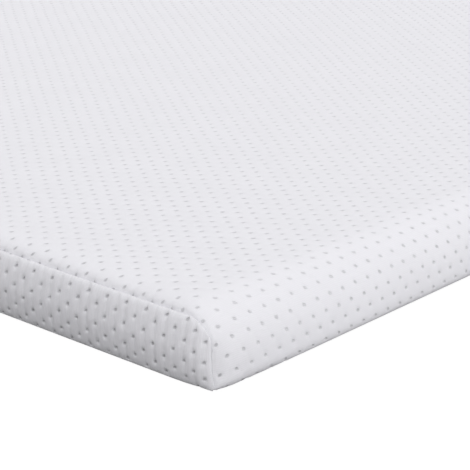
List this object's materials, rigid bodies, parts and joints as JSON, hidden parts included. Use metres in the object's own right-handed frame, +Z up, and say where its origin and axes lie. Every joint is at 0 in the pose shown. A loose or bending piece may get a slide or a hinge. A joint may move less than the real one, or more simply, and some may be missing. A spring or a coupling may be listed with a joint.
{
  "type": "padded mattress protector",
  "caption": "Padded mattress protector for a single bed: a slab wrapped in dimpled knitted cloth, with soft long edges and a panel sewn into each end.",
  "frame": {"origin": "under the centre, in the plane that the underside rests on", "axes": "+X across the width, +Y along the length, +Z up out of the top"},
  "size_m": [0.9, 1.8998, 0.06],
  "materials": {
    "wrap_cloth": "soft matte dimpled knit, white with a faint cool tint",
    "panel_cloth": "soft matte dimpled knit, white with a faint cool tint"
  },
  "bodies": {
    "root": {"padded_body": "wrap_cloth", "end_panel_front": "panel_cloth", "end_panel_back": "panel_cloth"}
  },
  "joints": []
}
